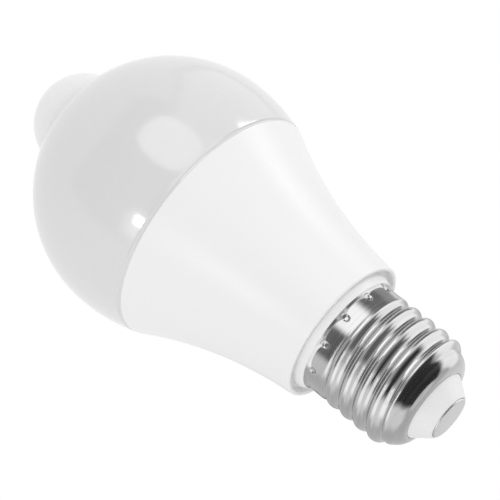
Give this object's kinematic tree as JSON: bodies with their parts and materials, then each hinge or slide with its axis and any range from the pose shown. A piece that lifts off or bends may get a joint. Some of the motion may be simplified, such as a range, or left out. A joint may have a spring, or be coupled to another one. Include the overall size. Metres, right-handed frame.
{
  "type": "motion sensor led bulb",
  "caption": "LED lamp with a round milky globe, a small motion sensor dome on top, a flared white neck and an Edison screw cap.",
  "frame": {"origin": "middle of the centre contact's outer face, at the tip of the screw cap", "axes": "+Z along the lamp's axis from the cap to the sensor dome; -Y is the side the punch marks are counted from"},
  "size_m": [0.06, 0.06, 0.1176],
  "materials": {
    "housing_white": "moulded white plastic, soft gloss",
    "diffuser_milk": "milky blown plastic, glossy",
    "dome_milk": "milky lens plastic, soft gloss",
    "cap_nickel": "rolled sheet, bright nickel plating",
    "insulator_white": "moulded white plastic",
    "contact_metal": "plated rivet, satin",
    "sheet_aluminium": "pressed sheet, bare",
    "led_board_white": "white solder mask on aluminium",
    "led_phosphor": "yellow phosphor in white frames",
    "screw_steel": "zinc plated",
    "post_white": "moulded white plastic",
    "circuit_green": "green solder mask on glass fibre",
    "sensor_steel": "drawn steel can",
    "window_dark": "coated silicon filter",
    "clear_resin": "clear cast resin",
    "chip_black": "moulded epoxy",
    "ferrite": "sintered, matt",
    "winding_tape": "polyester tape over windings",
    "capacitor_sleeve": "shrunk sleeve",
    "film_brown": "dipped epoxy",
    "resistor_grey": "cement coat",
    "connector_white": "moulded nylon",
    "wire_live": "red insulation",
    "wire_neutral": "black insulation",
    "lead_white": "white insulation"
  },
  "bodies": {
    "root": {"centre_contact": "contact_metal", "cap_insulator": "insulator_white", "screw_shell": "cap_nickel", "housing": "housing_white", "heat_sink_cup": "sheet_aluminium", "led_board": "led_board_white", "led_chips": "led_phosphor", "board_screws": "screw_steel", "sensor_post": "post_white", "post_screws": "screw_steel", "sensor_board": "circuit_green", "heat_sensor": "sensor_steel", "sensor_window": "window_dark", "light_sensor": "clear_resin", "sensor_chip": "chip_black", "sensor_leads": "lead_white", "sensor_dome": "dome_milk", "diffuser": "diffuser_milk", "driver_board": "circuit_green", "transformer_core": "ferrite", "transformer_bobbin": "winding_tape", "bulk_capacitor": "capacitor_sleeve", "output_capacitor": "capacitor_sleeve", "film_capacitor": "film_brown", "fusible_resistor": "resistor_grey", "bridge_rectifier": "chip_black", "driver_chip": "chip_black", "board_connector": "connector_white", "live_wire": "wire_live", "neutral_wire": "wire_neutral"}
  },
  "joints": []
}
